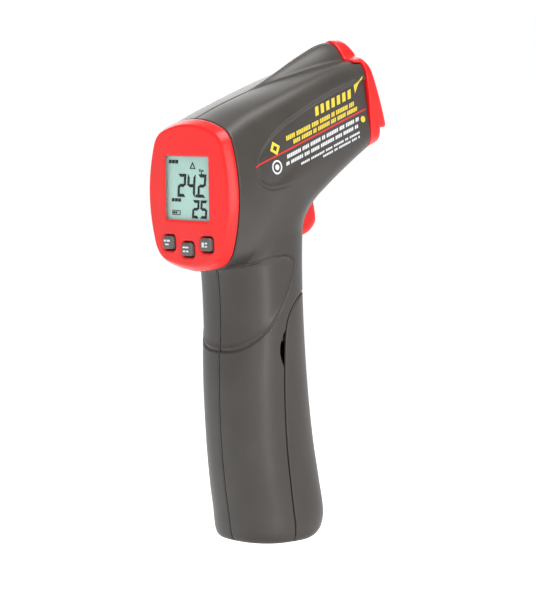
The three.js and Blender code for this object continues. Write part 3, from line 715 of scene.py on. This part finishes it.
MATERIALS = {
    "red_plastic": moulded("red_plastic", (0.86, 0.016, 0.015), 0.33, 2600, 0.008, 0.03, level=0.35),
    "grey_plastic": moulded("grey_plastic", (0.047, 0.041, 0.036), 0.40, 2600, 0.030, 0.07),
    "key_rubber": moulded("key_rubber", (0.105, 0.100, 0.096), 0.50, 3000, 0.012, 0.06),
    "clear_plastic": clear_sheet("clear_plastic", (0.82, 0.92, 0.90), 0.02, level=0.08),
    "lens_plastic": clear_sheet("lens_plastic", (0.30, 0.26, 0.24), 0.80),
    "display_glass": display_glass(),
    "white_plastic": moulded("white_plastic", (0.78, 0.78, 0.75), 0.45, 1800, 0.010, 0.03),
    "circuit_board": moulded("circuit_board", (0.020, 0.150, 0.055), 0.38, 1500, 0.015, 0.12),
    "black_plastic": moulded("black_plastic", (0.018, 0.018, 0.019), 0.42, 2200, 0.015, 0.10),
    "steel": brushed("steel", (0.56, 0.57, 0.58), 0.28),
    "laser_brass": brushed("laser_brass", (0.72, 0.52, 0.22), 0.26),
    "red_lead": moulded("red_lead", (0.50, 0.020, 0.016), 0.42, 900, 0.010, 0.05),
    "foam": moulded("foam", (0.035, 0.035, 0.038), 0.90, 1400, 0.20, 0.25),
    "battery_case": moulded("battery_case", (0.030, 0.075, 0.190), 0.33, 700, 0.006, 0.05),
    "print_yellow": moulded("print_yellow", (0.78, 0.60, 0.05), 0.45, 1600, 0.004, 0.04),
    "print_white": moulded("print_white", (0.74, 0.75, 0.77), 0.45, 1600, 0.004, 0.04),
    "print_red": moulded("print_red", (0.66, 0.022, 0.018), 0.45, 1600, 0.004, 0.04),
    "display_ink": moulded("display_ink", (0.006, 0.008, 0.008), 0.60, 900, 0.002, 0.10, level=0.0),
}


def dress(obj, name):
    obj.data.materials.clear()
    obj.data.materials.append(MATERIALS[name])


def piece(obj, body, slot, *nodes, material=None):
    """Rides on a body, takes a finish, and hides the CAD nodes it replaces."""
    dress(obj, material or slot)
    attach(obj, body)
    if nodes:
        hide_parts(*nodes)
    return obj


# ---- Pieces --------------------------------------------------------------------------------------
CELL = 0.5


def near_curve(points, curve, reach):
    return curve_distance(points[:, 1], points[:, 2], curve) < reach


def housing_detail(p):
    """Where a housing half needs finer faces: seams, grooves, the label's edge and small edges."""
    x, y, z = p.T
    outside = body(x, y, z) > -0.9
    seam = np.abs(x) < 1.0
    door_edge = np.abs(outline_distance(y, z, DOOR_SIDE)) < 1.3
    top, = stations(LABEL_TOP, y)
    label = ((np.abs(z - top + 0.4) < 1.3) & (y > -23) | near_curve(p, LABEL_EDGE, 1.2)) & (np.abs(x) > 7)
    web = near_curve(p, WEB_LOOP, 1.1)
    ends = (y < BEZEL_BACK + 1.2) | (cap_joint(y, z, 0) > -1.2)
    return outside & (seam | door_edge | label | web | ends)


def make_housings():
    for side, name in ((-1, "left_housing"), (1, "right_housing")):
        low = (-22.0 if side < 0 else -0.4, -31.0, 3.0)
        high = (0.4 if side < 0 else 22.0, 33.5, 161.5)
        obj = implicit(name + "_shell", housing(side), low, high, CELL, housing_detail)
        piece(obj, "housing", "grey_plastic", name)


def door_detail(p):
    x, y, z = p.T
    return (body(x, y, z) > -0.9) & (np.abs(outline_distance(y, z, DOOR_SIDE)) < 1.3)


def make_door():
    low, high = (-18.5, -13.5, 3.0), (18.5, 15, 84)
    obj = implicit("battery_door_shell", battery_door, low, high, CELL, door_detail)
    piece(obj, "door", "grey_plastic", "battery_door")


def make_red_pieces():
    fine = CELL * 0.8
    bezel = implicit("display_bezel_shell", display_bezel, (-22, -35, 89), (22, -27.5, 138), fine)
    piece(bezel, "housing", "red_plastic", "display_bezel")
    cap = implicit("front_cap_shell", front_cap, (-16, 24, 118), (16, 40, 162), fine)
    piece(cap, "housing", "red_plastic", "front_cap")
    blade = implicit("trigger_blade", trigger, (-6, 1, 97), (6, 16.5, 121), fine)
    piece(blade, "trigger", "red_plastic", "trigger")


def key_mark(soup, field, centre, shapes):
    drape = drape_along(field, 1, BEZEL_FACE - 2, BEZEL_FACE + 1)
    for u0, u1, v0, v1 in shapes:
        shape = lambda a, b, box=(u0, u1, v0, v1): (centre[0] + box[0] + (box[1] - box[0]) * a,
                                                    centre[1] + box[2] + (box[3] - box[2]) * b)
        soup.patch(drape, shape, 3, 3)


KEY_MARKS = {       # (left, right, bottom, top) of each bar on a key, mm from its centre
    "left": ((-1.5, -0.3, 0.3, 0.9), (0.1, 1.5, 0.3, 0.9), (-0.9, 0.9, -0.8, -0.3)),
    "middle": ((-1.4, 1.4, 0.4, 0.9), (-1.4, -0.2, -0.8, -0.3), (0.2, 1.4, -0.8, -0.3)),
    "right": ((-1.3, -0.2, -0.8, 0.7), (0.3, 1.3, 0.2, 0.7), (0.3, 1.3, -0.8, -0.3)),
}


def make_keys():
    for name, centre in KEYS.items():
        field = key_field(centre)
        low = (centre[0] - 3.2, -35.5, centre[1] - 2.8)
        high = (centre[0] + 3.2, -31.5, centre[1] + 2.8)
        key = implicit(f"key_{name}_cap", field, low, high, CELL * 0.36)
        piece(key, f"key_{name}", "key_rubber", f"key_{name}")
        marks = Soup()
        key_mark(marks, field, centre, KEY_MARKS[name])
        piece(marks.build(f"key_{name}_marks"), f"key_{name}", "white_plastic", material="print_white")


# ---- Side label ----------------------------------------------------------------------------------
LABEL_START = (-24.0, 121.6)
LABEL_SLOPE = math.radians(17.8)
ROWS_YELLOW = ((3.5, 17.9, 52.0, 1.35), (1.6, 20.4, 51.9, 1.25))     # rise, from, to, height
ROWS_WHITE = (
    (-1.75, 16.0, 51.7, 1.15), (-3.75, 14.8, 51.0, 1.05),
    (-5.85, 21.0, 50.3, 0.65), (-7.15, 31.3, 50.1, 0.65),
)
GROUPS = (5, 8, 4, 6, 2, 7, 3)       # ticks in each group, in turn
TICK = 0.62


def on_label(s, t):
    c, n = math.cos(LABEL_SLOPE), math.sin(LABEL_SLOPE)
    return LABEL_START[0] + s * c - t * n, LABEL_START[1] + s * n + t * c


def bar(s0, s1, t, height, lean=0.35):
    def shape(a, b):
        rise = (b - 0.5) * height
        return on_label(s0 + (s1 - s0) * a + lean * rise, t + rise)
    return shape


def ticks(rise, start, end, height, shift):
    """One row of print, as plain ticks in groups."""
    found = []
    at, turn = start, shift
    while at < end - TICK:
        for _ in range(GROUPS[turn % len(GROUPS)]):
            if at < end - TICK:
                found.append((at, at + TICK, rise, height))
            at += TICK * 1.36
        at += TICK
        turn += 1
    return found


def disc(s, t, outer, inner=0.0):
    def shape(a, b):
        radius = inner + (outer - inner) * a
        angle = 2 * math.pi * b
        return on_label(s + radius * math.cos(angle), t + radius * math.sin(angle))
    return shape


def diamond(s, t, outer, inner):
    def shape(a, b):
        reach = inner + (outer - inner) * a
        quarter, part = int(b * 4) % 4, b * 4 - int(b * 4)
        corners = ((1, 0), (0, 1), (-1, 0), (0, -1), (1, 0))
        p, q = corners[quarter], corners[quarter + 1]
        u, v = (p[k] + (q[k] - p[k]) * part for k in (0, 1))
        return on_label(s + reach * u, t + reach * v)
    return shape


def wedge(a, b):
    along = a * 4.6
    return on_label(52.6 + along + 0.4 * b * (1 - a), 7.6 + 2.8 * a + (b - 0.5) * 2.4 * (1 - 0.92 * a))


def make_side_label():
    skin = lambda x, y, z: body(x, y, z) + relief(x, y, z)
    for side, name in ((1, "right"), (-1, "left")):
        line = Soup()
        line.patch(drape_along(skin, 0, 26 * side, 6 * side), bar(1.4, 55.6, 0.1, 0.5, 0), 110, 2)
        piece(line.build(f"side_line_{name}"), "housing", "red_plastic", material="print_red")
    drape = drape_along(skin, 0, 26, 6)
    yellow, white = Soup(), Soup()
    for block in range(7):
        start = 33.3 + block * 2.65
        yellow.patch(drape, bar(start, start + 1.55, 6.9, 2.7), 4, 5)
    for turn, (rise, start, end, height) in enumerate(ROWS_YELLOW):
        for s0, s1, t, h in ticks(rise, start, end, height, turn * 2):
            yellow.patch(drape, bar(s0, s1, t, h), 2, 3)
    yellow.patch(drape, wedge, 10, 4)
    yellow.patch(drape, diamond(12.1, 2.4, 2.2, 1.0), 3, 24, wrap=True)
    yellow.patch(drape, disc(53.2, -2.5, 1.0, 0.02), 4, 20, wrap=True)
    for turn, (rise, start, end, height) in enumerate(ROWS_WHITE):
        for s0, s1, t, h in ticks(rise, start, end, height, turn * 3 + 1):
            white.patch(drape, bar(s0, s1, t, h), 2, 2)
    white.patch(drape, disc(10.6, -3.2, 2.2, 1.65), 2, 32, wrap=True)
    white.patch(drape, disc(10.6, -3.2, 0.9, 0.02), 3, 20, wrap=True)
    piece(yellow.build("side_marks_yellow"), "housing", "white_plastic", material="print_yellow")
    piece(white.build("side_marks_white"), "housing", "white_plastic", material="print_white")


# ---- Display -------------------------------------------------------------------------------------
SEGMENTS = {"0": "abcdef", "1": "bc", "2": "abged", "4": "fgbc", "5": "afgcd"}
DIGIT_SLANT = 0.10
INK_NEAR, INK_FAR = BEZEL_FACE + 1.38, BEZEL_FACE + 1.48


def digit(soup, figure, left, low, width, height, stroke):
    """A seven-segment figure with mitred corners, leaning a little to the right."""
    h, gap = stroke / 2, 0.08
    reach = height / 2
    upright = [(h, h + gap), (h, reach - h), (0, reach - gap / 2), (-h, reach - gap / 2), (-h, gap - h)]
    level = [(gap - h, -h), (width + h - gap, -h), (width - h - gap, h), (h + gap, h)]
    start, stop = gap + h, width - gap - h
    middle = [(gap, 0), (start, -h), (stop, -h), (width - gap, 0), (stop, h), (start, h)]
    shapes = {
        "a": [(u, height - v) for u, v in level], "d": level, "g": [(u, v + reach) for u, v in middle],
        "e": upright, "f": [(u, height - v) for u, v in upright],
        "c": [(width - u, v) for u, v in upright], "b": [(width - u, height - v) for u, v in upright],
    }
    for name in SEGMENTS[figure]:
        outline = [(left + u + v * DIGIT_SLANT, low + v) for u, v in shapes[name]]
        soup.prism(outline, INK_NEAR, INK_FAR)


def pill(soup, left, right, low, high, slant=0.1):
    outline = [(left, low), (right, low), (right, high), (left, high)]
    soup.prism([(x + (z - low) * slant, z) for x, z in outline], INK_NEAR, INK_FAR)


def ring(soup, x, z, radius, stroke, start=0, stop=360, steps=20):
    """Arc of a ring; a whole ring is made of two halves."""
    if stop - start >= 360:
        ring(soup, x, z, radius, stroke, start, start + 179.9, steps // 2)
        ring(soup, x, z, radius, stroke, start + 180, start + 359.9, steps // 2)
        return
    angles = [math.radians(start + (stop - start) * k / steps) for k in range(steps + 1)]
    hole = radius - stroke
    outer = [(x + radius * math.cos(a), z + radius * math.sin(a)) for a in angles]
    inner = [(x + hole * math.cos(a), z + hole * math.sin(a)) for a in reversed(angles)]
    soup.prism(outer + inner, INK_NEAR, INK_FAR)


def make_display():
    ink = Soup()
    width, height = LCD_SIZE
    left, top = -width / 2, LCD_CENTRE + height / 2
    across = lambda share: left + width * share
    down = lambda share: top - height * share
    figure_height = 6.2
    digit(ink, "2", across(0.235), down(0.615), 2.9, figure_height, 0.95)
    digit(ink, "4", across(0.455), down(0.615), 2.9, figure_height, 0.95)
    pill(ink, across(0.632), across(0.667), down(0.637), down(0.592))
    digit(ink, "2", across(0.700), down(0.615), 2.9, figure_height, 0.95)
    digit(ink, "2", across(0.565), down(0.945), 2.4, 4.8, 0.85)
    digit(ink, "5", across(0.750), down(0.945), 2.4, 4.8, 0.85)
    ring(ink, across(0.745), down(0.215), 0.42, 0.20)
    ring(ink, across(0.810), down(0.250), 0.85, 0.36, 50, 310, 14)
    for start in (0.025, 0.100, 0.175):
        pill(ink, across(start), across(start + 0.060), down(0.115), down(0.060))
    for start in (0.075, 0.150, 0.225):
        pill(ink, across(start), across(start + 0.060), down(0.715), down(0.665))
    peak = across(0.575)
    triangle = [(peak - 1.4, down(0.195)), (peak + 1.4, down(0.195)), (peak, down(0.085))]
    hollow = [(peak + (x - peak) * 0.6, down(0.165) + (z - down(0.165)) * 0.6) for x, z in triangle]
    for i in range(3):
        j = (i + 1) % 3
        ink.prism([triangle[i], triangle[j], hollow[j], hollow[i]], INK_NEAR, INK_FAR)
    box = (across(0.085), across(0.270), down(0.925), down(0.850))
    for x0, x1, z0, z1 in ((box[0], box[1], box[2], box[2] + 0.22), (box[0], box[1], box[3] - 0.22, box[3]),
                           (box[0], box[0] + 0.22, box[2] + 0.22, box[3] - 0.22),
                           (box[1] - 0.22, box[1], box[2] + 0.22, box[3] - 0.22),
                           (box[0] + 0.45, box[0] + 1.3, box[2] + 0.45, box[3] - 0.45),
                           (box[0] + 1.6, box[0] + 2.4, box[2] + 0.45, box[3] - 0.45)):
        pill(ink, x0, x1, z0, z1, 0)
    piece(ink.build("display_figures"), "housing", "black_plastic", material="display_ink")


# ---- Lens ----------------------------------------------------------------------------------------
def lathe(name, profile, sides=72):
    """Ring or disc turned about the lens axis; profile is (radius, distance along) from point to point."""
    points, faces = [], []
    for radius, along in profile:
        for k in range(sides):
            angle = 2 * math.pi * k / sides
            x, up = radius * math.cos(angle), radius * math.sin(angle)
            points.append((x, LENS_ORIGIN[1] + along * math.cos(PITCH) - up * math.sin(PITCH),
                           LENS_ORIGIN[2] + along * math.sin(PITCH) + up * math.cos(PITCH)))
    for i in range(len(profile) - 1):
        for k in range(sides):
            n = (k + 1) % sides
            faces.append([i * sides + k, i * sides + n, (i + 1) * sides + n, (i + 1) * sides + k])
    if profile[0][0] > 0.02 and profile[0] == profile[-1]:
        last = (len(profile) - 1) * sides
        points = points[:last]
        faces = [[v % last for v in face] for face in faces]
    else:
        faces += [list(range(sides)), list(range(len(points) - 1, len(points) - sides - 1, -1))]
    soup = Soup()
    soup.add(points, faces)
    return soup.build(name, smooth=True)


def make_lens():
    ridges = [(0.01, 2.40)]
    for k in range(1, 15):
        ridges += [(k * 0.5 - 0.06, 2.40), (k * 0.5, 2.27)]
    lens = ridges + [(7.3, 2.40), (7.3, 1.6), (5, 1.75), (0.01, 1.9)]
    disc_lens = lathe("fresnel_lens_ridged", lens)
    piece(disc_lens, "housing", "clear_plastic", "fresnel_lens", material="lens_plastic")
    ring_profile = [
        (6.2, 2.8), (6.35, 2.7), (7.3, 2.7), (7.4, 2.8), (7.4, 4.1), (7.3, 4.2), (6.9, 4.2), (6.2, 3.5),
        (6.2, 2.8),
    ]
    piece(lathe("lens_ring_turned", ring_profile), "housing", "black_plastic", "lens_retaining_ring")
    tube = [
        (6.8, -15.8), (7.0, -16.0), (8.0, -16.0), (8.2, -15.8), (8.2, 4.1), (7.95, 4.4), (7.7, 4.25),
        (7.7, 1.2), (6.8, 1.2),
    ]
    baffles = [(6.8, 0.9 - 0.9 * k) if k % 2 else (6.55, 0.9 - 0.9 * k) for k in range(18)]
    turned = lathe("lens_tube_baffled", tube + baffles + tube[:1])
    piece(turned, "housing", "black_plastic", "lens_tube")


def dress_frame():
    """A procedural finish on every CAD node that is still shown."""
    for part in frame["record"]["subparts"]:
        node = frame["nodes"][part["node"]]
        dress(node, part["material_slot"])


# ---- Stage, lights and camera --------------------------------------------------------------------
TARGET = Vector((0.0, -0.0036, 0.0765))
CAMERA_YAW, CAMERA_RISE, CAMERA_ROLL = math.radians(50), math.radians(4.8), math.radians(-1)
CAMERA_DISTANCE = 0.9
FLOOR = -0.09
FLOOR_GLOW = (0.14, 0.36, 0.12, 0.85)       # strength of the floor's painted glow: from this distance to that one, this strength to that one


def make_camera():
    ahead = Vector((-math.sin(CAMERA_YAW), math.cos(CAMERA_YAW), 0)) * math.cos(CAMERA_RISE)
    ahead += Vector((0, 0, -math.sin(CAMERA_RISE)))
    right = Vector((math.cos(CAMERA_YAW), math.sin(CAMERA_YAW), 0))
    up = right.cross(ahead)
    turned_right = right * math.cos(CAMERA_ROLL) + up * math.sin(CAMERA_ROLL)
    turned_up = up * math.cos(CAMERA_ROLL) - right * math.sin(CAMERA_ROLL)
    data = bpy.data.cameras.new("camera")
    data.lens = 172.4
    data.sensor_width = 36
    camera = bpy.data.objects.new("camera", data)
    rotation = Matrix((turned_right, turned_up, -ahead)).transposed().to_4x4()
    camera.matrix_world = Matrix.Translation(TARGET - ahead * CAMERA_DISTANCE) @ rotation
    bpy.context.scene.collection.objects.link(camera)
    bpy.context.scene.camera = camera


def soft_light(name, azimuth, elevation, distance, width, height, power):
    """Softbox that faces the object; azimuth 0 is behind the display, 90 on the right side."""
    a, e = math.radians(azimuth), math.radians(elevation)
    away = Vector((math.sin(a) * math.cos(e), -math.cos(a) * math.cos(e), math.sin(e)))
    data = bpy.data.lights.new(name, "AREA")
    data.shape = "RECTANGLE"
    data.size, data.size_y = width, height
    data.energy = power
    light = bpy.data.objects.new(name, data)
    light.visible_camera = False
    light.location = TARGET + away * distance
    light.rotation_euler = away.to_track_quat("Z", "Y").to_euler()
    bpy.context.scene.collection.objects.link(light)


def make_floor():
    """Pale floor with painted light: it glows beyond the object's foot, so that the ground reads white, and
    glows less under the object, a painted darker patch there.
    """
    mesh = bpy.data.meshes.new("floor")
    half = 12.0
    corners = [(x * half, y * half, FLOOR) for x, y in ((-1, -1), (1, -1), (1, 1), (-1, 1))]
    mesh.from_pydata(corners, [], [(0, 1, 2, 3)])
    floor = bpy.data.objects.new("floor", mesh)
    bpy.context.scene.collection.objects.link(floor)
    material, nodes, links, shader = new_material("floor")
    cloud = noise(nodes, links, 3, 1)
    tone = ramp_of(nodes, links, cloud, ((0.3, (0.58, 0.58, 0.58)), (0.7, (0.61, 0.61, 0.61))))
    links.new(tone, shader.inputs["Base Color"])
    shader.inputs["Roughness"].default_value = 0.9
    shader.inputs["Emission Color"].default_value = (1, 1, 1, 1)
    where = nodes.new("ShaderNodeTexCoord")
    distance = nodes.new("ShaderNodeVectorMath")
    distance.operation = "LENGTH"
    links.new(where.outputs["Object"], distance.inputs[0])
    # painted light: the floor's emission is weak under the object and strong beyond, so the floor is
    # painted darker beneath it
    glow = nodes.new("ShaderNodeMapRange")
    for socket, value in zip(("From Min", "From Max", "To Min", "To Max"), FLOOR_GLOW):
        glow.inputs[socket].default_value = value
    links.new(distance.outputs["Value"], glow.inputs["Value"])
    links.new(glow.outputs["Result"], shader.inputs["Emission Strength"])
    mesh.materials.append(material)


def make_world():
    """White round the horizon, grey overhead."""
    world = bpy.data.worlds.new("studio")
    world.use_nodes = True
    nodes, links = world.node_tree.nodes, world.node_tree.links
    where = nodes.new("ShaderNodeTexCoord")
    split = nodes.new("ShaderNodeSeparateXYZ")
    links.new(where.outputs["Generated"], split.inputs["Vector"])
    sky = ramp_of(nodes, links, split.outputs["Z"], ((0.07, (1, 1, 1)), (0.20, (0.28, 0.28, 0.28))))
    links.new(sky, nodes["Background"].inputs["Color"])
    bpy.context.scene.world = world
    bpy.context.scene.view_settings.view_transform = "Standard"


LIGHTS = (      # name, azimuth, elevation, distance, width, height, power in watts
    ("overhead", 70, 76, 0.9, 0.6, 0.6, 9),
    ("far_left", -120, 28, 1.0, 0.9, 0.5, 4),
    ("strip_left", 28, 8, 1.0, 0.12, 0.9, 0.6),
    ("strip_right", 68, 8, 1.0, 0.12, 0.9, 4.5),
)


# ---- Build ---------------------------------------------------------------------------------------
make_camera()
make_floor()
make_world()
for light in LIGHTS:
    soft_light(*light)
make_housings()
make_door()
make_red_pieces()
make_keys()
make_side_label()
make_display()
make_lens()
dress_frame()
